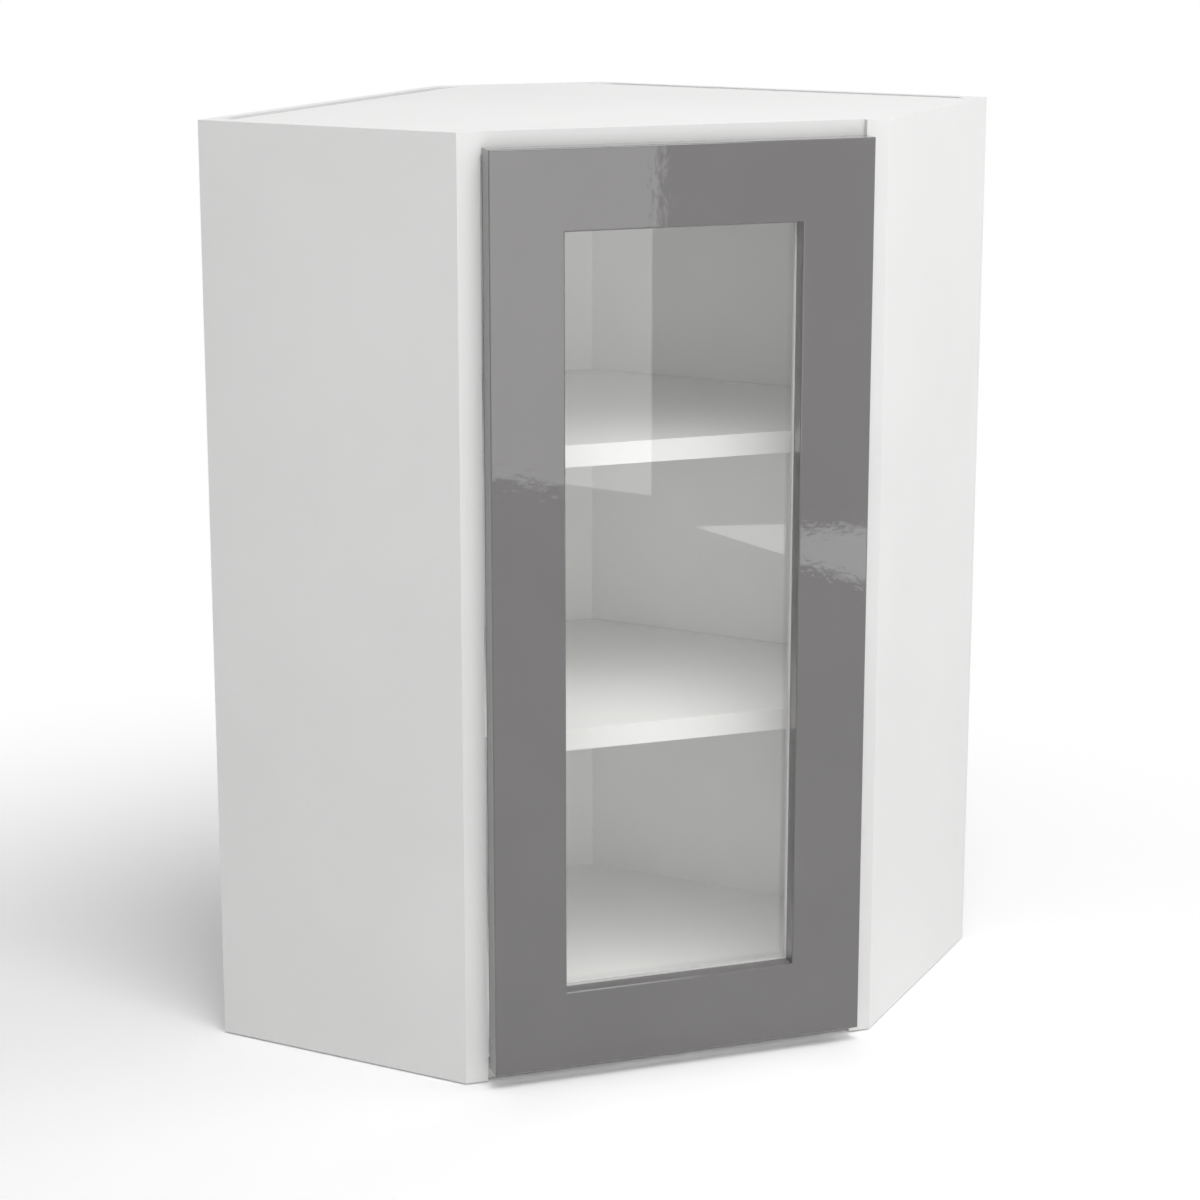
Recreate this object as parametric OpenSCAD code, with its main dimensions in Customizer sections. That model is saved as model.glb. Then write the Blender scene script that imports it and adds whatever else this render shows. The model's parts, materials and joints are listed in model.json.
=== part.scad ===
/* [Cabinet] */
// Width of the cabinet along each wall
wall_w = 580; // [560:1:620]
// Depth of the side panels, out from the wall
side_d = 280; // [270:1:300]
// Height of the cabinet
unit_h = 920; // [860:1:1000]
// Thickness of the panels and shelves
board = 22; // [20:0.5:24]
// Length that the cut rear corner takes off each wall side
corner_leg = 134; // [120:1:150]
// Width of the post face at the front of each side panel
post_face = 22; // [20:0.5:24]
// How far the top and bottom panels stand behind the post faces
front_recess = 6.5; // [3:0.5:8]

/* [Back] */
// Thickness of the two back panels
back_t = 3; // [2.5:0.1:4]
// Depth of the grooves that hold the back panels
groove_d = 8; // [6:0.5:10]
// How far the back panels end below the top and above the floor
back_end_gap = 4; // [2:0.5:8]
// Thickness of the hanging rails
rail_t = 12; // [10:0.5:16]
// Height of the hanging rails
rail_h = 80; // [60:1:100]
// Space between a back panel and the hanging rail behind it
rail_gap = 13; // [8:0.5:16]
// Diameter of the wall screw holes in the hanging rails
wall_hole_d = 6; // [5:0.5:8]
// Distance between the two wall screw holes of a rail
wall_hole_pitch = 256; // [192:32:256]

/* [Shelves] */
// Height of the lower shelf's top face
lower_shelf_top = 316; // [252:32:348]
// Height of the upper shelf's top face
upper_shelf_top = 604; // [540:32:668]
// How far the shelves stand behind the post faces
shelf_setback = 100; // [60:1:130]
// Play round a shelf
shelf_play = 1; // [0.5:0.1:1.5]
// Diameter of a shelf pin
pin_d = 5; // [4:0.5:6]
// Length of a shelf pin inside its hole
pin_in = 9; // [7:0.5:11]
// Length of a shelf pin under its shelf
pin_out = 10; // [8:0.5:12]

/* [Door] */
// Side gap between the door's edge and the inner edge of a post face
door_side_gap = 1.1; // [0.8:0.1:3]
// Margin between the door's ends and the ends of the cabinet
door_margin = 14; // [10:0.5:16]
// Thickness of the door frame
door_t = 22; // [20:0.5:24]
// Gap between the door and the post faces
door_gap = 2; // [1.5:0.1:3]
// Width of the door's stiles
stile_w = 72; // [60:1:90]
// Width of the door's top and bottom rails
door_rail_w = 77; // [60:1:90]
// Radius of the door's front edges
door_edge_r = 1.5; // [1:0.1:3]
// Thickness of the glass
glass_t = 4; // [3:0.5:5]
// Thickness of the seal on each face of the glass
seal_t = 0.7; // [0.5:0.1:1]
// Width of the rebate that holds the glass
rebate_w = 8; // [6:0.5:10]
// Width of the seal that shows round the glass
seal_lip = 1.5; // [1:0.1:3]
// Width of the beads behind the glass
bead_w = 14; // [12:0.5:18]
// Thickness of the beads behind the glass
bead_t = 3; // [2:0.5:4]

/* [Hinges] */
// Distance of each hinge from its end of the door
hinge_inset = 110; // [90:1:160]
// Diameter of the hinge cups
cup_d = 35; // [34:0.5:36]
// Depth of the hinge cups
cup_depth = 11.5; // [11:0.1:12]
// Distance from the door's edge to a hinge cup
cup_edge = 4.5; // [4.2:0.1:4.6]
// Wall thickness of the pressed hinge parts
cup_wall = 0.8; // [0.6:0.1:1]
// Diameter of the hinge pins
hinge_pin_d = 3; // [2.5:0.1:3.2]
// Running clearance round the hinge pins
pin_play = 0.05; // [0.02:0.01:0.09]
// Length of a hinge arm along the side panel
arm_len = 62; // [56:1:70]

/* [Fittings] */
// Diameter of the joint dowels
dowel_d = 8; // [6:0.5:8]
// Length of the joint dowels
dowel_len = 30; // [24:1:35]
// Diameter of the cam discs
cam_d = 15; // [12:0.5:15]
// Distance from a cam disc's centre to the joint
cam_reach = 34; // [24:1:34]

/* [Hidden] */
$fn = 48;

// Clearances and the overrun of every cut
over = 1;
fit = 0.1;

// The plan of the cabinet: a runs along the right wall side, b along the left one
root2 = sqrt(2);
front_leg = wall_w - side_d;
front_w = front_leg * root2;
back_set = rail_t + rail_gap + back_t;
back_front = wall_w - back_set;
corner_sum = 2 * wall_w - corner_leg;
inner_sum = corner_sum - board * root2;
post_depth = board * root2 - post_face;
joint_front = front_leg + board - post_face * root2;
joint_len = back_front - joint_front;
rear_y = (corner_sum - front_leg) / root2;
inner_y = (inner_sum - front_leg) / root2;
corner_half = (2 * back_front - inner_sum) / root2;
middle_y = (rear_y - door_gap - door_t) / 2;
function plan(a, b) = [(a - b) / root2, (a + b - front_leg) / root2];

// Heights of the joints' middle planes and of the hanging rails
top_mid = unit_h - board / 2;
bottom_mid = board / 2;
top_rail_z = unit_h - rail_h;

// Places of the fittings along a joint, as shares of its length
dowel_shares = [0.14, 0.86];
cam_shares = [0.32, 0.68];
corner_dowel_shares = [-0.8, 0.8];
corner_cam_shares = [-0.4, 0.4];
nail_shares = [0.1, 0.5, 0.9];

// Cam fittings
bolt_d = 6;
bolt_head_d = 7;
bolt_thread_len = 11;
bolt_stem_d = 5;
bolt_head_len = 4;
cam_cap = 1;
cam_h = board / 2 + bolt_head_d / 2 + cam_cap;
cam_slot_w = 5.4;
cam_slot_d = 2;
cam_slot_t = 1.4;

// Rail dowels and back panel nails
rail_dowel_d = 6;
rail_dowel_in = 12;
nail_d = 1.8;
nail_len = 18;
nail_head_d = 4.5;
nail_head_t = 0.8;

// Shelves and their pins
shelf_tops = [lower_shelf_top, upper_shelf_top];
pin_collar_d = 8;
pin_collar_t = 0.8;
pin_inset = 26;
corner_pin_shares = [-0.5, 0.5];

// Door
door_w = front_w - 2 * (post_face + door_side_gap);
door_h = unit_h - 2 * door_margin;
door_front = -door_gap - door_t;
view_w = door_w - 2 * stile_w;
view_h = door_h - 2 * door_rail_w;
view_mid = door_margin + door_h / 2;
rebate_d = glass_t + 2 * seal_t;
bead_screw_d = 2.5;
bead_screw_len = 11;
bead_head_d = 5;
bead_head_t = 1;
long_bead_shares = [-0.85, -0.3, 0.3, 0.85];
short_bead_shares = [-0.6, 0.6];

// Hinges, drawn from the door's hinge edge at its rear face: x to the right, y to the back
hinge_heights = [door_margin + hinge_inset, door_margin + door_h - hinge_inset];
arm_pin_in = 4.5;
arm_pin_back = 8;
cup_pin_in = 8.5;
cup_pin_deep = 8;
link_w = 8;
link_t = 2;
link_bow = 13.5;
arm_eye_d = 6.6;
cup_eye_d = 4.6;
cup_x = cup_edge + cup_d / 2;
cup_flange_t = 1.2;
cup_rim = 1.5;
cup_boss_d = 5;
cup_ear_r = 5;
cup_screw_in = 9.5;
cup_screw_pitch = 45;
cup_screw_d = 3.5;
cup_screw_len = 14;
cup_head_d = 6.5;
cup_head_t = 1.6;
ear_t = 2;
ear_gap = 0.4;
arm_low = 3;
arm_high = 13;
arm_bend = 6;
arm_start = 12;
plate_t = 2;
plate_w = 18;
plate_h = 52;
plate_start = 24;
plate_screw_pitch = 32;
plate_screw_d = 4;
plate_screw_len = 15;
plate_head_d = 7.5;
plate_head_t = 1.8;
block_len = 30;
arm_screw_at = arm_len - block_len / 2;
arm_screw_d = 5;
arm_screw_head_d = 8;
arm_screw_head_t = 1.4;
arm_screw_len = 7;

arm_pin = [-arm_pin_in, arm_pin_back];
cup_pin = [-cup_pin_in, -cup_pin_deep];
pin_r = hinge_pin_d / 2;
link_chord = norm(cup_pin - arm_pin);
link_r = (pow(link_chord / 2, 2) + pow(link_bow, 2)) / (2 * link_bow);
link_dir = (cup_pin - arm_pin) / link_chord;
link_side = [link_dir[1], -link_dir[0]];
link_mid = (arm_pin + cup_pin) / 2 + link_side * (link_bow - link_r);
link_start = atan2(arm_pin[1] - link_mid[1], arm_pin[0] - link_mid[0]);
link_end = atan2(cup_pin[1] - link_mid[1], cup_pin[0] - link_mid[0]) + 360;
cup_pin_half = sqrt(pow(cup_d / 2 - cup_wall / 2, 2) - pow(cup_x - cup_pin_in + pin_r, 2));
ear_low = link_w / 2 + ear_gap;
ear_high = ear_low + ear_t;
post_corner = [door_side_gap, post_depth + door_gap];

// Puts what is drawn round the front plane into the cabinet's own frame
module placed() {
    translate([0, -middle_y, 0]) children();
}

// Repeats what is drawn on the left on both sides
module both_sides() {
    children();
    mirror([1, 0, 0]) children();
}

// A place on the left side panel's inner face, with +Z out of the face
module side_point(b, z) {
    p = plan(board, b);
    translate([p[0], p[1], z]) rotate([0, 90, 45]) children();
}

// A place on the corner board's inner face, with +Z out of the face
module corner_point(x, z) {
    translate([x, inner_y, z]) rotate([90, 0, 0]) children();
}

// Repeats a fitting along the joints between the left side panel and the two level panels
module along_joints(shares) {
    for (z = [bottom_mid, top_mid])
        for (share = shares)
            side_point(joint_front + share * joint_len, z) children();
}

// Repeats a fitting along the joints between the corner board and the two level panels
module along_corner(shares) {
    for (z = [bottom_mid, top_mid])
        for (share = shares)
            corner_point(share * corner_half, z) children();
}

// Plan of the left side panel, with its mitred and blunted front end
module side_outline() {
    face = post_face / root2;
    polygon([
        plan(0, wall_w),
        plan(0, front_leg),
        plan(face, front_leg - face),
        plan(board, joint_front),
        plan(board, wall_w)
    ]);
}

// Plan of a level panel that fills the carcass from its recessed front edge to the back
module level_outline() {
    half_front = front_w / 2 - post_face;
    left = [
        [-half_front, front_recess],
        [-half_front, post_depth],
        plan(board, back_front),
        plan(inner_sum - back_front, back_front)
    ];
    right = [for (i = [3:-1:0]) [-left[i][0], left[i][1]]];
    polygon(concat(left, right));
}

// Plan of a shelf
module shelf_outline() {
    side = board + shelf_play;
    rear = back_front - shelf_play;
    front_sum = front_leg + shelf_setback * root2;
    rear_sum = inner_sum - shelf_play * root2;
    polygon([
        plan(side, front_sum - side),
        plan(side, rear),
        plan(rear_sum - rear, rear),
        plan(rear, rear_sum - rear),
        plan(rear, side),
        plan(front_sum - side, side)
    ]);
}

// Plan of the corner board, bevelled to both walls
module corner_outline() {
    polygon([
        plan(inner_sum - wall_w, wall_w),
        plan(wall_w - corner_leg, wall_w),
        plan(wall_w, wall_w - corner_leg),
        plan(wall_w, inner_sum - wall_w)
    ]);
}

// Plan of the left back panel, grown by some play for its grooves
module back_outline(play) {
    polygon([
        plan(board - groove_d, back_front - play),
        plan(board - groove_d, back_front + back_t + play),
        plan(inner_sum - back_front + groove_d, back_front + back_t + play),
        plan(inner_sum - back_front + groove_d, back_front - play)
    ]);
}

// Plan of a hanging rail along the left wall side
module rail_outline() {
    polygon([
        plan(board, wall_w - rail_t),
        plan(board, wall_w),
        plan(inner_sum - wall_w, wall_w),
        plan(inner_sum - wall_w + rail_t, wall_w - rail_t)
    ]);
}

// Groove for a back panel, running out at both ends
module back_groove() {
    translate([0, 0, -over]) linear_extrude(unit_h + 2 * over) back_outline(fit);
}

// Holes for the shelf pins of one side panel, at the shelves' undersides
module side_pin_places(top) {
    shelf_front = front_leg + shelf_setback * root2 - board;
    for (b = [shelf_front + pin_inset, back_front - pin_inset])
        side_point(b, top - board - pin_d / 2) children();
}
module corner_pin_places(top) {
    for (share = corner_pin_shares)
        corner_point(share * corner_half, top - board - pin_d / 2) children();
}

// A round hole that starts above a face and ends at a depth below it
module hole(d, depth) {
    translate([0, 0, -depth]) cylinder(d = d, h = depth + over);
}

// A side panel with its groove and joint holes, drawn on the left
module side_panel_shape() {
    difference() {
        linear_extrude(unit_h) side_outline();
        back_groove();
        along_joints(dowel_shares) hole(dowel_d, dowel_len / 2);
        along_joints(cam_shares) hole(bolt_d, bolt_thread_len);
        for (top = shelf_tops) side_pin_places(top) hole(pin_d, pin_in);
        rail_end_places() rail_dowel_hole();
    }
}

// The hole of a rail dowel, through both pieces of its joint
module rail_dowel_hole() {
    cylinder(d = rail_dowel_d, h = 2 * rail_dowel_in, center = true);
}

// Where the rails' dowels enter the left side panel
module rail_end_places() {
    for (z = [rail_h / 2, unit_h - rail_h / 2])
        side_point(wall_w - rail_t / 2, z) children();
}

// Where the rails' dowels enter the corner board, running along the left wall side
module rail_corner_places() {
    for (z = [rail_h / 2, unit_h - rail_h / 2]) {
        p = plan(inner_sum - wall_w + rail_t / 2, wall_w - rail_t / 2);
        translate([p[0], p[1], z]) rotate([0, 90, 45]) children();
    }
}

module left_side_panel() {
    color("white") placed() side_panel_shape();
}

// The right side panel is a mirror image and also holds the hinge plates' screws
module right_side_panel() {
    color("white") placed() difference() {
        mirror([1, 0, 0]) side_panel_shape();
        plate_screw_places() hole(plate_screw_d, plate_screw_len);
    }
}

// What a level panel loses to its joints: dowels and bolts in its edges, cams from below
module level_cuts() {
    both_sides() {
        along_joints(dowel_shares) edge_hole(dowel_d, dowel_len / 2);
        along_joints(cam_shares) edge_hole(bolt_head_d, cam_reach);
        cam_side_places() edge_hole(cam_d, cam_h);
    }
    along_corner(corner_dowel_shares) edge_hole(dowel_d, dowel_len / 2);
    along_corner(corner_cam_shares) edge_hole(bolt_head_d, cam_reach);
    cam_corner_places() edge_hole(cam_d, cam_h);
}

// A round hole that starts below a face and runs up into the piece
module edge_hole(d, depth) {
    translate([0, 0, -over]) cylinder(d = d, h = depth + over);
}

// Centres of the cam discs on the panels' lower faces, with +Z up into the panel
module cam_side_places() {
    for (z = [0, unit_h - board])
        for (share = cam_shares) {
            p = plan(board + cam_reach, joint_front + share * joint_len);
            translate([p[0], p[1], z]) rotate([0, 0, 225]) children();
        }
}
module cam_corner_places() {
    for (z = [0, unit_h - board])
        for (share = corner_cam_shares)
            translate([share * corner_half, inner_y - cam_reach, z]) rotate([0, 0, 90]) children();
}

module level_panel(z) {
    difference() {
        translate([0, 0, z]) linear_extrude(board) level_outline();
        level_cuts();
        both_sides() nail_places() hole(nail_d, back_t + nail_len);
    }
}
module top_panel() {
    color("white") placed() level_panel(unit_h - board);
}
module bottom_panel() {
    color("white") placed() level_panel(0);
}

module corner_board() {
    color("white") placed() difference() {
        linear_extrude(unit_h) corner_outline();
        both_sides() {
            back_groove();
            rail_corner_places() rail_dowel_hole();
        }
        along_corner(corner_dowel_shares) hole(dowel_d, dowel_len / 2);
        along_corner(corner_cam_shares) hole(bolt_d, bolt_thread_len);
        for (top = shelf_tops) corner_pin_places(top) hole(pin_d, pin_in);
    }
}

// A back panel in its grooves, drawn on the left
module back_shape() {
    difference() {
        translate([0, 0, back_end_gap]) linear_extrude(unit_h - 2 * back_end_gap) back_outline(0);
        nail_places() hole(nail_d, back_t + over);
    }
}

// Where nails pass through the left back panel, with +Z out towards the wall
module nail_places() {
    reach = inner_sum - back_front - board;
    for (z = [bottom_mid, top_mid])
        for (share = nail_shares) {
            p = plan(board + share * reach, back_front + back_t);
            translate([p[0], p[1], z]) rotate([-90, 0, 45]) children();
        }
}
module left_back_panel() {
    color("whitesmoke") placed() back_shape();
}
module right_back_panel() {
    color("whitesmoke") placed() mirror([1, 0, 0]) back_shape();
}

// A hanging rail with its wall screw holes, drawn on the left
module rail_shape(z) {
    mid = (board + inner_sum - wall_w) / 2;
    difference() {
        translate([0, 0, z]) linear_extrude(rail_h) rail_outline();
        for (side = [-1, 1]) {
            p = plan(mid + side * wall_hole_pitch / 2, wall_w - rail_t / 2);
            translate([p[0], p[1], z + rail_h / 2]) rotate([90, 0, 45])
                cylinder(d = wall_hole_d, h = rail_t + 2 * over, center = true);
        }
        rail_end_places() rail_dowel_hole();
        rail_corner_places() rail_dowel_hole();
    }
}
module left_top_rail() {
    color("white") placed() rail_shape(top_rail_z);
}
module right_top_rail() {
    color("white") placed() mirror([1, 0, 0]) rail_shape(top_rail_z);
}
module left_bottom_rail() {
    color("white") placed() rail_shape(0);
}
module right_bottom_rail() {
    color("white") placed() mirror([1, 0, 0]) rail_shape(0);
}

module shelf_shape(top) {
    translate([0, 0, top - board]) linear_extrude(board) shelf_outline();
}
module lower_shelf() {
    color("white") placed() shelf_shape(lower_shelf_top);
}
module upper_shelf() {
    color("white") placed() shelf_shape(upper_shelf_top);
}

// One shelf pin: a shank in its hole, a collar on the panel and a peg under the shelf
module shelf_pin() {
    hole_part = pin_in - fit;
    translate([0, 0, -hole_part]) cylinder(d = pin_d - fit, h = hole_part + pin_out);
    cylinder(d = pin_collar_d, h = pin_collar_t);
}
module shelf_pin_set(top) {
    both_sides() side_pin_places(top) shelf_pin();
    corner_pin_places(top) shelf_pin();
}
module lower_shelf_pins() {
    color("silver") placed() shelf_pin_set(lower_shelf_top);
}
module upper_shelf_pins() {
    color("silver") placed() shelf_pin_set(upper_shelf_top);
}

// A dowel across a joint, a little shorter than its two holes
module dowel(d, inside, outside) {
    translate([0, 0, fit - inside]) cylinder(d = d - fit, h = inside + outside - 2 * fit);
}
module panel_dowels() {
    color("burlywood") placed() both_sides() along_joints(dowel_shares)
        dowel(dowel_d, dowel_len / 2, dowel_len / 2);
}
module corner_dowels() {
    color("burlywood") placed() along_corner(corner_dowel_shares)
        dowel(dowel_d, dowel_len / 2, dowel_len / 2);
}
module rail_dowels() {
    color("burlywood") placed() both_sides() {
        rail_end_places() dowel(rail_dowel_d, rail_dowel_in, rail_dowel_in);
        rail_corner_places() dowel(rail_dowel_d, rail_dowel_in, rail_dowel_in);
    }
}

// A cam disc, drawn with its bolt coming in along +X
module cam_disc() {
    difference() {
        cylinder(d = cam_d - fit, h = cam_h - fit);
        translate([-bolt_head_d / 2, 0, board / 2]) rotate([0, 90, 0])
            cylinder(d = bolt_head_d, h = cam_d);
        for (turn = [0, 90])
            rotate([0, 0, turn]) translate([-cam_slot_w / 2, -cam_slot_t / 2, -over])
                cube([cam_slot_w, cam_slot_t, cam_slot_d + over]);
    }
}
module cam_discs() {
    color("silver") placed() {
        both_sides() cam_side_places() cam_disc();
        cam_corner_places() cam_disc();
    }
}

// A cam bolt, screwed into one panel and reaching to the disc in the other
module cam_bolt() {
    translate([0, 0, fit - bolt_thread_len]) cylinder(d = bolt_d - fit, h = bolt_thread_len - fit);
    cylinder(d = bolt_stem_d, h = cam_reach);
    translate([0, 0, cam_reach - bolt_head_len / 2]) cylinder(d = bolt_head_d - fit, h = bolt_head_len / 2);
}
module cam_bolts() {
    color("silver") placed() {
        both_sides() along_joints(cam_shares) cam_bolt();
        along_corner(corner_cam_shares) cam_bolt();
    }
}

// A nail with its head on the back panel
module back_nail() {
    translate([0, 0, -nail_len]) cylinder(d = nail_d, h = nail_len);
    cylinder(d = nail_head_d, h = nail_head_t);
}
module back_nails() {
    color("silver") placed() both_sides() nail_places() back_nail();
}

// Section of the door across one direction, with its two front edges rounded
module door_section(width) {
    translate([-width / 2, door_front + door_edge_r]) square([width, door_t - door_edge_r]);
    translate([door_edge_r - width / 2, door_front])
        square([width - 2 * door_edge_r, door_edge_r]);
    for (side = [-1, 1])
        translate([side * (width / 2 - door_edge_r), door_front + door_edge_r]) circle(door_edge_r);
}

// Section of the door's opening across one direction, flared round its front edges
module view_section(width) {
    translate([-width / 2, door_front - over]) square([width, door_t + 2 * over]);
    difference() {
        translate([-width / 2 - door_edge_r, door_front - over])
            square([width + 2 * door_edge_r, door_edge_r + over]);
        for (side = [-1, 1])
            translate([side * (width / 2 + door_edge_r), door_front + door_edge_r])
                circle(door_edge_r);
    }
}

// A block across the door, upright or level, at the height of the door's middle
module upright_bar(length) {
    translate([0, 0, view_mid - length / 2]) linear_extrude(length) children();
}
module level_bar(length) {
    translate([length / 2, 0, view_mid]) rotate([0, -90, 0]) linear_extrude(length) children();
}

// A box centred on the door's opening, between two depths behind the post faces
module door_box(width, height, back, depth) {
    translate([-width / 2, back - depth, view_mid - height / 2]) cube([width, depth, height]);
}

// Where a hinge stands: the door's hinge edge at its rear face
module at_hinge(z) {
    translate([door_w / 2, -door_gap, z]) children();
}

module door_frame() {
    color("dimgray") placed() difference() {
        intersection() {
            upright_bar(door_h) door_section(door_w);
            level_bar(door_w) door_section(door_h);
        }
        intersection() {
            upright_bar(view_h + 2 * door_edge_r) view_section(view_w);
            level_bar(view_w + 2 * door_edge_r) view_section(view_h);
        }
        door_box(view_w + 2 * rebate_w, view_h + 2 * rebate_w, over - door_gap, rebate_d + over);
        for (z = hinge_heights)
            at_hinge(z) {
                translate([-cup_x, over, 0]) rotate([90, 0, 0])
                    cylinder(d = cup_d + fit, h = cup_depth + fit + over);
                cup_screw_places() hole(cup_screw_d, cup_screw_len);
            }
        bead_screw_places() hole(bead_screw_d, bead_screw_len);
    }
}

module glass_pane() {
    side = 2 * (rebate_w - seal_t);
    color("lightgray", 0.4) placed()
        door_box(view_w + side, view_h + side, -door_gap - seal_t, glass_t);
}

// The seal wraps the edge of the glass and shows as a thin line round it
module glass_seal() {
    side = 2 * (rebate_w - seal_t);
    color("whitesmoke") placed() difference() {
        door_box(view_w + 2 * rebate_w, view_h + 2 * rebate_w, -door_gap, rebate_d);
        door_box(view_w - 2 * seal_lip, view_h - 2 * seal_lip, over - door_gap, rebate_d + 2 * over);
        door_box(view_w + side, view_h + side, -door_gap - seal_t, glass_t);
    }
}

// One mitred bead, drawn along the top of an opening of the given size
module bead(length, half) {
    translate([0, bead_t - door_gap, view_mid]) rotate([90, 0, 0]) linear_extrude(bead_t)
        polygon([
            [fit - length / 2, half],
            [length / 2 - fit, half],
            [length / 2 + bead_w - fit, half + bead_w],
            [fit - length / 2 - bead_w, half + bead_w]
        ]);
}
module glass_beads() {
    color("dimgray") placed() difference() {
        for (turn = [0, 180]) {
            turned(turn) bead(view_w, view_h / 2);
            turned(turn + 90) bead(view_h, view_w / 2);
        }
        bead_screw_places() translate([0, 0, -over]) cylinder(d = bead_screw_d, h = bead_t + 2 * over);
    }
}

// Turns a piece round the middle of the door
module turned(angle) {
    translate([0, 0, view_mid]) rotate([0, angle, 0]) translate([0, 0, -view_mid]) children();
}

// Places of the bead screws on the door's rear face, with +Z out to the back
module bead_screw_places() {
    out = (rebate_w + bead_w) / 2;
    for (side = [-1, 1]) {
        for (share = long_bead_shares)
            translate([side * (view_w / 2 + out), -door_gap, view_mid + share * view_h / 2])
                rotate([-90, 0, 0]) children();
        for (share = short_bead_shares)
            translate([share * view_w / 2, -door_gap, view_mid + side * (view_h / 2 + out)])
                rotate([-90, 0, 0]) children();
    }
}
module bead_screws() {
    color("silver") placed() bead_screw_places() {
        translate([0, 0, -bead_screw_len + fit]) cylinder(d = bead_screw_d, h = bead_screw_len + bead_t);
        translate([0, 0, bead_t]) cylinder(d = bead_head_d, h = bead_head_t);
    }
}

// The round body of a hinge cup, down from the door's rear face
module cup_body() {
    translate([-cup_x, 0, 0]) rotate([90, 0, 0]) cylinder(d = cup_d, h = cup_depth);
}

// A hinge cup with its flange and the two bosses that hold its pin
module cup_shape() {
    difference() {
        union() {
            difference() {
                union() {
                    cup_body();
                    translate([-cup_x, cup_flange_t, 0]) rotate([90, 0, 0])
                        linear_extrude(cup_flange_t) flange_outline();
                }
                translate([-cup_x, cup_flange_t + over, 0]) rotate([90, 0, 0])
                    cylinder(d = cup_d - 2 * cup_wall, h = cup_flange_t + over + cup_depth - cup_wall);
            }
            intersection() {
                cup_body();
                for (side = [-1, 1])
                    translate([cup_pin[0], cup_pin[1], side * (ear_low + cup_d) / 2])
                        cylinder(d = cup_boss_d, h = cup_d - ear_low, center = true);
            }
        }
        translate(cup_pin) cylinder(d = hinge_pin_d, h = 2 * cup_pin_half, center = true);
        cup_screw_places() translate([0, 0, -over])
            cylinder(d = cup_screw_d + fit, h = cup_flange_t + 2 * over);
    }
}

// Outline of the cup's flange round the cup's centre, with an ear for each screw
module flange_outline() {
    circle(d = cup_d + 2 * cup_rim);
    for (side = [-1, 1])
        translate([-cup_screw_in, side * cup_screw_pitch / 2]) circle(cup_ear_r);
    translate([-cup_screw_in - cup_ear_r, -cup_screw_pitch / 2])
        square([2 * cup_ear_r, cup_screw_pitch]);
}
module cup_screw_places() {
    for (side = [-1, 1])
        translate([-cup_x - cup_screw_in, 0, side * cup_screw_pitch / 2])
            rotate([-90, 0, 0]) children();
}
module upper_hinge_cup() {
    color("silver") placed() at_hinge(hinge_heights[1]) cup_shape();
}
module lower_hinge_cup() {
    color("silver") placed() at_hinge(hinge_heights[0]) cup_shape();
}
module cup_screws() {
    color("silver") placed() for (z = hinge_heights)
        at_hinge(z) cup_screw_places() {
            translate([0, 0, fit - cup_screw_len])
                cylinder(d = cup_screw_d, h = cup_screw_len - fit + cup_flange_t);
            translate([0, 0, cup_flange_t]) cylinder(d = cup_head_d, h = cup_head_t);
        }
}
module cup_pins() {
    color("silver") placed() for (z = hinge_heights)
        at_hinge(z) translate(cup_pin)
            cylinder(d = hinge_pin_d, h = 2 * cup_pin_half, center = true);
}

// A hinge link: a strip bent round the door's edge, with an eye at each end
module link_shape() {
    difference() {
        union() {
            translate(link_mid) rotate([0, 0, link_start]) translate([0, 0, -link_w / 2])
                rotate_extrude(angle = link_end - link_start)
                    translate([link_r - link_t / 2, 0]) square([link_t, link_w]);
            translate(arm_pin) cylinder(d = arm_eye_d, h = link_w, center = true);
            translate(cup_pin) cylinder(d = cup_eye_d, h = link_w, center = true);
        }
        for (pin = [arm_pin, cup_pin])
            translate(pin) cylinder(d = hinge_pin_d + 2 * pin_play, h = link_w + 2 * over, center = true);
    }
}
module upper_hinge_link() {
    color("silver") placed() at_hinge(hinge_heights[1]) link_shape();
}
module lower_hinge_link() {
    color("silver") placed() at_hinge(hinge_heights[0]) link_shape();
}

// A place on the right side panel's inner face, as distance from the post's inner edge and height
function face(s, n) = post_corner + [s - n, s + n] / root2;

// The same place with +Z out of the face and +Y towards the door
module face_point(s, z) {
    p = face(s, 0);
    translate([p[0], p[1], z]) rotate([0, 90, 135]) children();
}
module plate_screw_places() {
    for (z = hinge_heights)
        at_hinge(z) for (side = [-1, 1])
            face_point(plate_start + plate_w / 2, side * plate_screw_pitch / 2) children();
}

// Outline of a hinge arm's cheek, from its nose at the pin back along the side panel
module cheek_outline() {
    translate(arm_pin) circle(d = arm_eye_d);
    polygon([
        arm_pin + [-arm_eye_d / 2, 0],
        face(arm_bend, arm_high),
        face(arm_len, arm_high),
        face(arm_len, arm_low),
        face(arm_bend, arm_low),
        arm_pin + [arm_eye_d, arm_eye_d] / 2 / root2
    ]);
}

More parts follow.
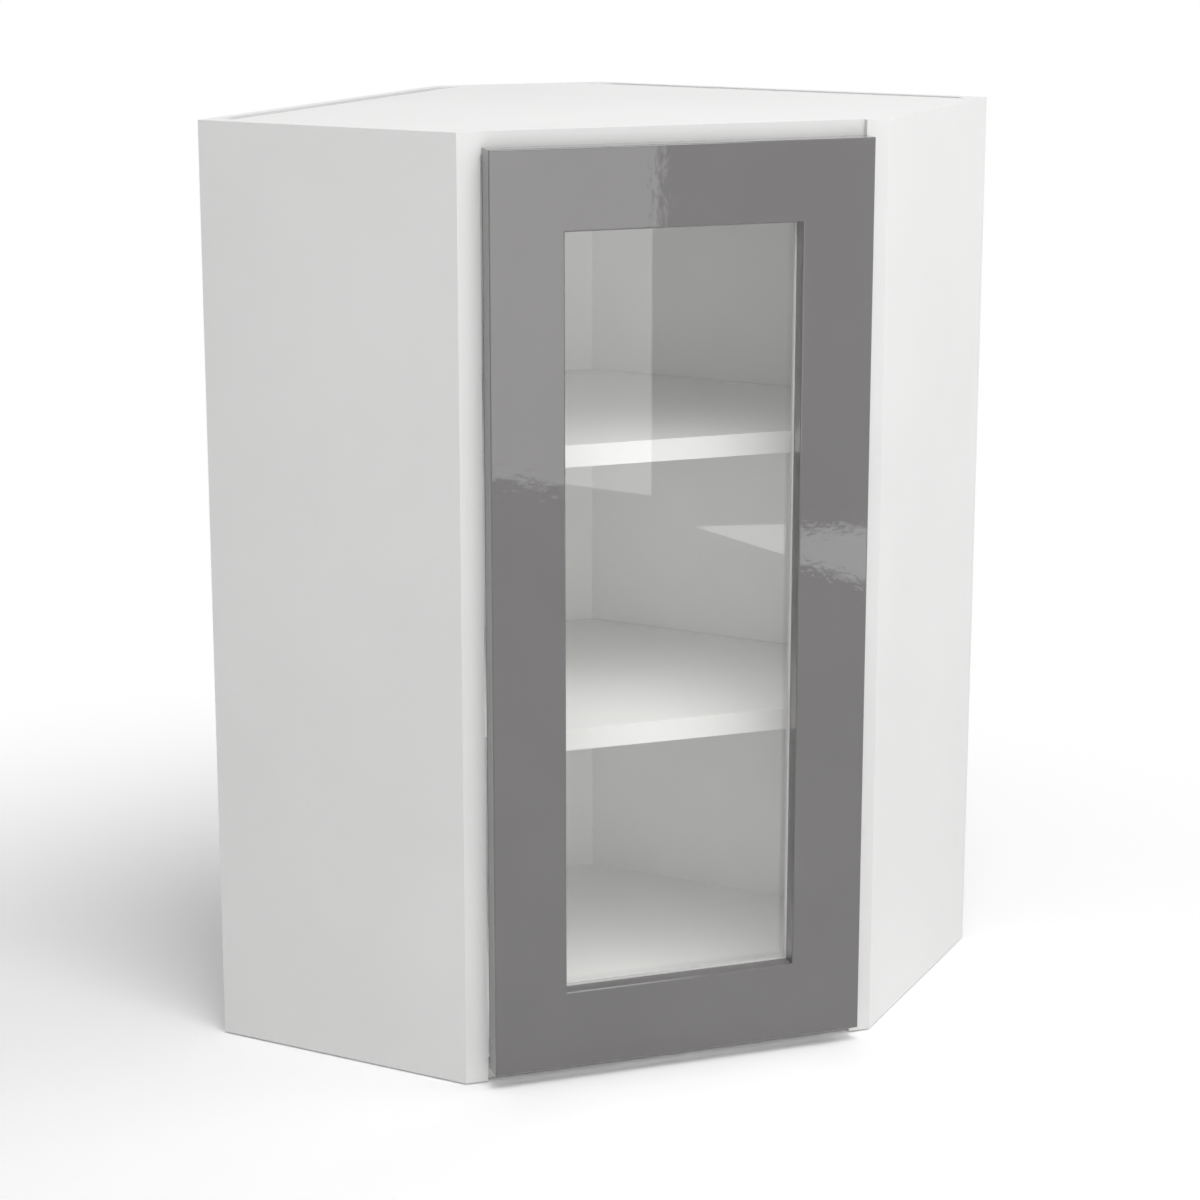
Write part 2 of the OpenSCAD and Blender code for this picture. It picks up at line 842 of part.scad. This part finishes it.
// A hinge arm: two cheeks joined by a web over the mounting plate's block
module arm_shape() {
    difference() {
        union() {
            for (z = [-ear_high, ear_low])
                translate([0, 0, z]) linear_extrude(ear_t) cheek_outline();
            translate([0, 0, -ear_high]) linear_extrude(2 * ear_high) polygon([
                face(arm_start, arm_high - ear_t),
                face(arm_start, arm_high),
                face(arm_len, arm_high),
                face(arm_len, arm_high - ear_t)
            ]);
        }
        translate(arm_pin) cylinder(d = hinge_pin_d, h = 2 * (ear_high + over), center = true);
        face_point(arm_screw_at, 0) cylinder(d = arm_screw_d, h = arm_high + over);
    }
}
module upper_hinge_arm() {
    color("silver") placed() at_hinge(hinge_heights[1]) arm_shape();
}
module lower_hinge_arm() {
    color("silver") placed() at_hinge(hinge_heights[0]) arm_shape();
}
module arm_pins() {
    color("silver") placed() for (z = hinge_heights)
        at_hinge(z) translate(arm_pin) cylinder(d = hinge_pin_d, h = 2 * ear_high, center = true);
}

// A mounting plate: a winged base on the side panel and the block that carries the arm
module plate_shape() {
    block_h = arm_high - ear_t;
    difference() {
        union() {
            face_point(plate_start + plate_w / 2, 0) linear_extrude(plate_t)
                square([plate_h, plate_w], center = true);
            face_point(arm_len - block_len / 2, 0) linear_extrude(block_h)
                square([link_w, block_len], center = true);
        }
        for (side = [-1, 1])
            face_point(plate_start + plate_w / 2, side * plate_screw_pitch / 2)
                translate([0, 0, -over]) cylinder(d = plate_screw_d + fit, h = plate_t + 2 * over);
        face_point(arm_screw_at, 0) translate([0, 0, block_h - arm_screw_len])
            cylinder(d = arm_screw_d, h = arm_screw_len + over);
    }
}
module upper_hinge_plate() {
    color("silver") placed() at_hinge(hinge_heights[1]) plate_shape();
}
module lower_hinge_plate() {
    color("silver") placed() at_hinge(hinge_heights[0]) plate_shape();
}
module plate_screws() {
    color("silver") placed() plate_screw_places() {
        translate([0, 0, fit - plate_screw_len])
            cylinder(d = plate_screw_d, h = plate_screw_len - fit + plate_t);
        translate([0, 0, plate_t]) cylinder(d = plate_head_d, h = plate_head_t);
    }
}
module arm_screws() {
    color("silver") placed() for (z = hinge_heights)
        at_hinge(z) face_point(arm_screw_at, 0) {
            translate([0, 0, arm_high - ear_t - arm_screw_len + fit])
                cylinder(d = arm_screw_d, h = arm_screw_len + ear_t - fit);
            translate([0, 0, arm_high]) cylinder(d = arm_screw_head_d, h = arm_screw_head_t);
        }
}

left_side_panel();
right_side_panel();
top_panel();
bottom_panel();
corner_board();
left_back_panel();
right_back_panel();
left_top_rail();
right_top_rail();
left_bottom_rail();
right_bottom_rail();
lower_shelf();
upper_shelf();
lower_shelf_pins();
upper_shelf_pins();
panel_dowels();
corner_dowels();
rail_dowels();
cam_discs();
cam_bolts();
back_nails();
upper_hinge_plate();
lower_hinge_plate();
plate_screws();
upper_hinge_arm();
lower_hinge_arm();
arm_screws();
arm_pins();
upper_hinge_link();
lower_hinge_link();
door_frame();
glass_pane();
glass_seal();
glass_beads();
bead_screws();
upper_hinge_cup();
lower_hinge_cup();
cup_screws();
cup_pins();
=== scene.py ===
import json
import math

import bpy
from mathutils import Matrix, Vector


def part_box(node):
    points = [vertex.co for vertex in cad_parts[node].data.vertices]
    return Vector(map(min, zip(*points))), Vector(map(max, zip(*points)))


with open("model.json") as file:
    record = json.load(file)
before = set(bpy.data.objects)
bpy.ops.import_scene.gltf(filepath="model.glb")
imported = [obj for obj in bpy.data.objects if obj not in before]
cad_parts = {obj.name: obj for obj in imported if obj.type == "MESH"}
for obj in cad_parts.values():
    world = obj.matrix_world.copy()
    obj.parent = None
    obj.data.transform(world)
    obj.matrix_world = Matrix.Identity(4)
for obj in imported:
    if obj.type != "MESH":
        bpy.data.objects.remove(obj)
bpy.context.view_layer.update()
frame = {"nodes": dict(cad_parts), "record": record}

nodes = frame["nodes"]

# The plane of the side panels' front faces and the cabinet's height, in metres
panel_low, panel_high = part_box("left_side_panel")
FRONT_Y = panel_low.y
CABINET_H = panel_high.z

# The camera, placed from the middle of that plane's lower edge
CAMERA_PLACE = (-0.896095, -2.485235, 1.167669)
CAMERA_YAW = math.radians(18.27)
CAMERA_PITCH = math.radians(12.44)
CAMERA_SHIFT_Y = -0.1
CAMERA_CLIP = (0.05, 60.0)
LENS_MM = 85.53
SENSOR_MM = 36.0

# A colour and a strength that show as plain white
WHITE = (1.0, 1.0, 1.0, 1.0)
WHITE_STRENGTH = 1.0

# The floor lies a little under the cabinet, which leaves a thin dark line round the foot
FLOOR_DROP = 0.0015
FLOOR_REACH = 14.0
FLOOR_MOTTLE = 1.5
FLOOR_ROUGHNESS = 0.9

# Greys of the floor: what throws light back at the cabinet, and what the camera is shown
FLOOR_BOUNCE = ((0.73, 0.73, 0.73), (0.76, 0.76, 0.76))
FLOOR_SHOWN = ((0.98, 0.98, 0.98), (1.0, 1.0, 1.0))

# The shown floor is lifted a little, and it turns white between two distances from a centre
FLOOR_LIFT = 0.07
FADE_CENTRE = (-0.28, -0.28, 0.0)
FADE_START = 0.44
FADE_END = 1.5

# The strength of the even light from all round
WORLD_SOFT = 0.4

# Kinds of rays that show the background, and kinds that only carry light
BACKGROUND_RAYS = ("Is Camera Ray", "Is Glossy Ray", "Is Transmission Ray")
LIGHTING_RAYS = ("Is Shadow Ray", "Is Diffuse Ray")

# The middle of a noise's values, over which a colour ramp runs
RAMP_ENDS = (0.3, 0.7)

# Boards, plastics and rubber: two colours, two roughnesses and the scale of the pebble
PLAIN_LOOKS = {
    "white_board": ((0.79, 0.79, 0.785), (0.82, 0.82, 0.815), (0.34, 0.42), 1500.0),
    "back_board": ((0.75, 0.75, 0.745), (0.79, 0.79, 0.785), (0.42, 0.52), 1100.0),
    "seal": ((0.72, 0.72, 0.72), (0.78, 0.78, 0.78), (0.5, 0.6), 900.0),
    "bead_grey": ((0.045, 0.045, 0.046), (0.055, 0.055, 0.056), (0.3, 0.4), 1200.0),
}

# Metals: two colours and two roughnesses
METAL_LOOKS = {
    "cast_zinc": ((0.4, 0.4, 0.41), (0.5, 0.5, 0.51), (0.38, 0.5)),
    "fastener_steel": ((0.55, 0.55, 0.56), (0.65, 0.65, 0.66), (0.22, 0.34)),
    "hinge_steel": ((0.58, 0.58, 0.58), (0.68, 0.68, 0.68), (0.16, 0.26)),
}

# Studio lamps, which all aim at the cabinet's middle: place, side and power in watts
STUDIO_LAMPS = {
    "front": ((0.15, -1.93, 3.25), 2.0, 64.0),
    "side": ((3.4, -1.1, 2.4), 2.4, 36.0),
    "fill": ((-0.5, -3.0, 0.5), 1.2, 9.5),
}

# A weak lamp in the mouth of the carcass, which lights the shelves as a bright room would
MOUTH_X = 0.04
MOUTH_INSET = 0.004
MOUTH_SIZE = (0.24, 0.86)
MOUTH_POWER = 0.27

# Strips of light over the front of each compartment: the piece above, how far under it the
# strip hangs, and its power
STRIPS = {
    "lower_shelf": (0.009, 0.21),
    "upper_shelf": (0.009, 0.22),
    "top_panel": (0.008, 0.13),
}
STRIP_X = -0.03
STRIP_INSET = 0.134
STRIP_LEAN = 0.05
STRIP_SIZE = (0.26, 0.08)

# Flat lamps that show in the door's gloss: a corner, two edges from it and a brightness. One
# stands well in front of the door, and one lies low, nearer to it and further right
CARDS = {
    "standing_card": ((0.512, -2.985, 0.0), (0.3, 0.345, 0.0), (0.0, 0.0, 0.75), 1.5),
    "lying_card": ((0.686, -2.067, 0.08), (0.13, 0.437, 0.0), (0.383, -0.114, -0.046), 1.85),
}


def node(tree, kind, **values):
    """A node of one kind with its inputs set by name."""
    made = tree.nodes.new(kind)
    for key, value in values.items():
        made.inputs[key.replace("_", " ")].default_value = value
    return made


def material(name, packed=(1.0, 1.0, 1.0)):
    """A new material with its node tree, its main shader and the place on the piece.

    The pattern is packed closer along an axis by a number above one.
    """
    made = bpy.data.materials.new(name)
    made.use_nodes = True
    tree = made.node_tree
    coords = tree.nodes.new("ShaderNodeTexCoord")
    mapping = node(tree, "ShaderNodeMapping", Scale=packed)
    tree.links.new(coords.outputs["Object"], mapping.inputs["Vector"])
    return made, tree, tree.nodes["Principled BSDF"], mapping.outputs["Vector"]


def noise(tree, vector, scale, detail=2.0):
    """Soft noise over the piece."""
    made = node(tree, "ShaderNodeTexNoise", Scale=scale, Detail=detail)
    tree.links.new(vector, made.inputs["Vector"])
    return made.outputs["Fac"]


def ramp(tree, factor, low, high):
    """A colour between two, by a noise."""
    made = tree.nodes.new("ShaderNodeValToRGB")
    for element, position, colour in zip(made.color_ramp.elements, RAMP_ENDS, (low, high)):
        element.position = position
        element.color = (*colour, 1.0)
    tree.links.new(factor, made.inputs["Fac"])
    return made.outputs["Color"]


def tint(tree, shader, factor, low, high):
    """Gives a shader a colour between two, by a noise."""
    tree.links.new(ramp(tree, factor, low, high), shader.inputs["Base Color"])


def sheen(tree, shader, factor, low, high):
    """Gives a shader a roughness between two, by a noise."""
    made = node(tree, "ShaderNodeMapRange", To_Min=low, To_Max=high)
    tree.links.new(factor, made.inputs["Value"])
    tree.links.new(made.outputs["Result"], shader.inputs["Roughness"])


def relief(tree, shader, height, strength, distance):
    """Gives a shader a fine relief from a noise."""
    made = node(tree, "ShaderNodeBump", Strength=strength, Distance=distance)
    tree.links.new(height, made.inputs["Height"])
    tree.links.new(made.outputs["Normal"], shader.inputs["Normal"])


def mix(tree, factor, first, second):
    """The first shader where the factor is zero and the second where it is one."""
    made = tree.nodes.new("ShaderNodeMixShader")
    tree.links.new(factor, made.inputs["Fac"])
    tree.links.new(first, made.inputs[1])
    tree.links.new(second, made.inputs[2])
    return made.outputs["Shader"]


def any_ray(tree, kinds):
    """One for a ray of any of these kinds, and zero for the others."""
    path = tree.nodes.new("ShaderNodeLightPath")
    found = path.outputs[kinds[0]]
    for kind in kinds[1:]:
        either = tree.nodes.new("ShaderNodeMath")
        either.operation = "MAXIMUM"
        tree.links.new(found, either.inputs[0])
        tree.links.new(path.outputs[kind], either.inputs[1])
        found = either.outputs["Value"]
    return found


def plain_material(name, low, high, rough, pebble):
    """Coated board, plastic or rubber: a faint mottle, a fine pebble and an uneven sheen."""
    made, tree, shader, vector = material(name)
    tint(tree, shader, noise(tree, vector, scale=5.0), low, high)
    sheen(tree, shader, noise(tree, vector, scale=60.0), *rough)
    grain = noise(tree, vector, scale=pebble, detail=3.0)
    relief(tree, shader, grain, strength=0.12, distance=0.0002)
    return made


def metal_material(name, low, high, rough):
    """Plated or cast metal with fine level marks."""
    made, tree, shader, vector = material(name, packed=(1.0, 1.0, 12.0))
    shader.inputs["Metallic"].default_value = 1.0
    tint(tree, shader, noise(tree, vector, scale=90.0, detail=3.0), low, high)
    sheen(tree, shader, noise(tree, vector, scale=220.0), *rough)
    relief(tree, shader, noise(tree, vector, scale=700.0), strength=0.15, distance=0.0001)
    return made


def gloss_material():
    """High-gloss lacquer: a grey base under a clear coat with a soft orange peel."""
    made, tree, shader, vector = material("door_gloss")
    cloud = noise(tree, vector, scale=9.0)
    tint(tree, shader, cloud, low=(0.142, 0.136, 0.138), high=(0.152, 0.146, 0.148))
    sheen(tree, shader, noise(tree, vector, scale=40.0), low=0.02, high=0.04)
    shader.inputs["Coat Weight"].default_value = 0.6
    shader.inputs["Coat Roughness"].default_value = 0.015
    relief(tree, shader, noise(tree, vector, scale=100.0), strength=0.13, distance=0.0006)
    return made


def glass_material():
    """Clear float glass with a faint waviness, which lets the room's light straight through."""
    made, tree, shader, vector = material("glass")
    cloud = noise(tree, vector, scale=6.0)
    tint(tree, shader, cloud, low=(0.945, 0.947, 0.935), high=(0.97, 0.972, 0.962))
    shader.inputs["Transmission Weight"].default_value = 1.0
    shader.inputs["IOR"].default_value = 1.5
    shader.inputs["Roughness"].default_value = 0.0
    wave = noise(tree, vector, scale=8.0, detail=1.0)
    relief(tree, shader, wave, strength=0.02, distance=0.0005)

    clear = node(tree, "ShaderNodeBsdfTransparent", Color=(0.95, 0.952, 0.945, 1.0))
    pane = mix(tree, any_ray(tree, LIGHTING_RAYS), shader.outputs["BSDF"], clear.outputs["BSDF"])
    tree.links.new(pane, tree.nodes["Material Output"].inputs["Surface"])
    return made


def wood_material():
    """Raw beech with its flecks."""
    made, tree, shader, vector = material("dowel_wood", packed=(1.0, 1.0, 6.0))
    fleck = noise(tree, vector, scale=120.0, detail=4.0)
    tint(tree, shader, fleck, low=(0.42, 0.27, 0.15), high=(0.6, 0.43, 0.27))
    sheen(tree, shader, noise(tree, vector, scale=300.0), low=0.5, high=0.75)
    pore = noise(tree, vector, scale=500.0, detail=3.0)
    relief(tree, shader, pore, strength=0.3, distance=0.0002)
    return made


def floor_material():
    """A pale floor that keeps its shadow near the cabinet and turns white further out."""
    made, tree, shader, vector = material("floor")
    mottle = noise(tree, vector, scale=FLOOR_MOTTLE)
    tint(tree, shader, mottle, *FLOOR_BOUNCE)
    shader.inputs["Roughness"].default_value = FLOOR_ROUGHNESS

    # The floor as it is lit, lifted a little
    pale = tree.nodes.new("ShaderNodeBsdfDiffuse")
    tree.links.new(ramp(tree, mottle, *FLOOR_SHOWN), pale.inputs["Color"])
    lift = node(tree, "ShaderNodeEmission", Color=WHITE, Strength=FLOOR_LIFT)
    lifted = tree.nodes.new("ShaderNodeAddShader")
    tree.links.new(pale.outputs["BSDF"], lifted.inputs[0])
    tree.links.new(lift.outputs["Emission"], lifted.inputs[1])

    # How far a place is on its way to white
    away = tree.nodes.new("ShaderNodeVectorMath")
    away.operation = "DISTANCE"
    away.inputs[1].default_value = FADE_CENTRE
    tree.links.new(vector, away.inputs[0])
    fade = node(tree, "ShaderNodeMapRange", From_Min=FADE_START, From_Max=FADE_END)
    fade.interpolation_type = "SMOOTHSTEP"
    tree.links.new(away.outputs["Value"], fade.inputs["Value"])

    white = node(tree, "ShaderNodeEmission", Color=WHITE, Strength=WHITE_STRENGTH)
    shown = mix(tree, fade.outputs["Result"], lifted.outputs["Shader"], white.outputs["Emission"])
    surface = mix(tree, any_ray(tree, BACKGROUND_RAYS), shader.outputs["BSDF"], shown)
    tree.links.new(surface, tree.nodes["Material Output"].inputs["Surface"])
    return made


def make_floor():
    """A plain floor, which isn't part of the cabinet."""
    square = ((-1, -1), (1, -1), (1, 1), (-1, 1))
    corners = [(x * FLOOR_REACH, y * FLOOR_REACH, 0.0) for x, y in square]
    mesh = bpy.data.meshes.new("floor")
    mesh.from_pydata(corners, [], [(0, 1, 2, 3)])
    mesh.materials.append(floor_material())
    floor = bpy.data.objects.new("floor", mesh)
    floor.location.z = -FLOOR_DROP
    bpy.context.scene.collection.objects.link(floor)


def make_world():
    """Soft even light, with white for the rays that show the background."""
    world = bpy.data.worlds.new("world")
    bpy.context.scene.world = world
    world.use_nodes = True
    tree = world.node_tree
    tree.nodes.clear()
    soft = node(tree, "ShaderNodeBackground", Color=WHITE, Strength=WORLD_SOFT)
    white = node(tree, "ShaderNodeBackground", Color=WHITE, Strength=WHITE_STRENGTH)
    seen = any_ray(tree, BACKGROUND_RAYS)
    surface = mix(tree, seen, soft.outputs["Background"], white.outputs["Background"])
    out = tree.nodes.new("ShaderNodeOutputWorld")
    tree.links.new(surface, out.inputs["Surface"])


def make_camera():
    """A camera at the photograph's angle."""
    data = bpy.data.cameras.new("camera")
    data.sensor_width = SENSOR_MM
    data.lens = LENS_MM
    data.shift_y = CAMERA_SHIFT_Y
    data.clip_start, data.clip_end = CAMERA_CLIP
    camera = bpy.data.objects.new("camera", data)
    bpy.context.scene.collection.objects.link(camera)
    ahead = Vector((
        math.sin(CAMERA_YAW) * math.cos(CAMERA_PITCH),
        math.cos(CAMERA_YAW) * math.cos(CAMERA_PITCH),
        -math.sin(CAMERA_PITCH),
    ))
    right = Vector((math.cos(CAMERA_YAW), -math.sin(CAMERA_YAW), 0.0))
    up = right.cross(ahead)
    turn = Matrix((right, up, -ahead)).transposed().to_4x4()
    x, y, z = CAMERA_PLACE
    camera.matrix_world = Matrix.Translation((x, FRONT_Y + y, z)) @ turn
    bpy.context.scene.camera = camera


def make_lamp(name, place, turn, size, power):
    """A soft rectangular lamp that the camera doesn't see."""
    data = bpy.data.lights.new(name, "AREA")
    data.shape = "RECTANGLE"
    data.size, data.size_y = size
    data.energy = power
    lamp = bpy.data.objects.new(name, data)
    lamp.matrix_world = Matrix.Translation(place) @ turn.to_4x4()
    lamp.visible_camera = False
    bpy.context.scene.collection.objects.link(lamp)


def aim_lamp(name, place, aim, size, power):
    """A lamp aimed at a point."""
    turn = (Vector(aim) - Vector(place)).to_track_quat("-Z", "Y").to_matrix()
    make_lamp(name, place, turn, size, power)


def make_card(name, corner, along, across, brightness):
    """A lamp spanned by two edges from a corner, which reads as its brightness in a mirror."""
    corner, along, across = Vector(corner), Vector(along), Vector(across)
    x, y = along.normalized(), across.normalized()
    turn = Matrix((x, y, x.cross(y))).transposed()
    size = (along.length, across.length)
    power = math.pi * brightness * along.length * across.length
    make_lamp(name, corner + (along + across) / 2, turn, size, power)


# Every node gets the material of its slot in the record
LOOKS = {name: plain_material(name, *look) for name, look in PLAIN_LOOKS.items()}
LOOKS.update({name: metal_material(name, *look) for name, look in METAL_LOOKS.items()})
LOOKS.update(door_gloss=gloss_material(), glass=glass_material(), dowel_wood=wood_material())
for part in frame["record"]["subparts"]:
    slots = nodes[part["node"]].data.materials
    slots.clear()
    slots.append(LOOKS[part["material_slot"]])

bpy.context.scene.view_settings.view_transform = "Standard"
make_floor()
make_world()
make_camera()

middle = (0.0, 0.0, CABINET_H / 2)
for name, (place, side, power) in STUDIO_LAMPS.items():
    aim_lamp(name, place, middle, (side, side), power)

mouth = Vector((MOUTH_X, FRONT_Y + MOUTH_INSET, CABINET_H / 2))
straight_back = Vector((0.0, 1.0, 0.0))
aim_lamp("mouth", mouth, mouth + straight_back, MOUTH_SIZE, MOUTH_POWER)

# The strips shine down and a little back
strip_y = FRONT_Y + STRIP_INSET
for above, (drop, power) in STRIPS.items():
    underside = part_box(above)[0].z
    place = (STRIP_X, strip_y, underside - drop)
    aim_lamp("strip", place, (STRIP_X, strip_y + STRIP_LEAN, 0.0), STRIP_SIZE, power)

for name, card in CARDS.items():
    make_card(name, *card)
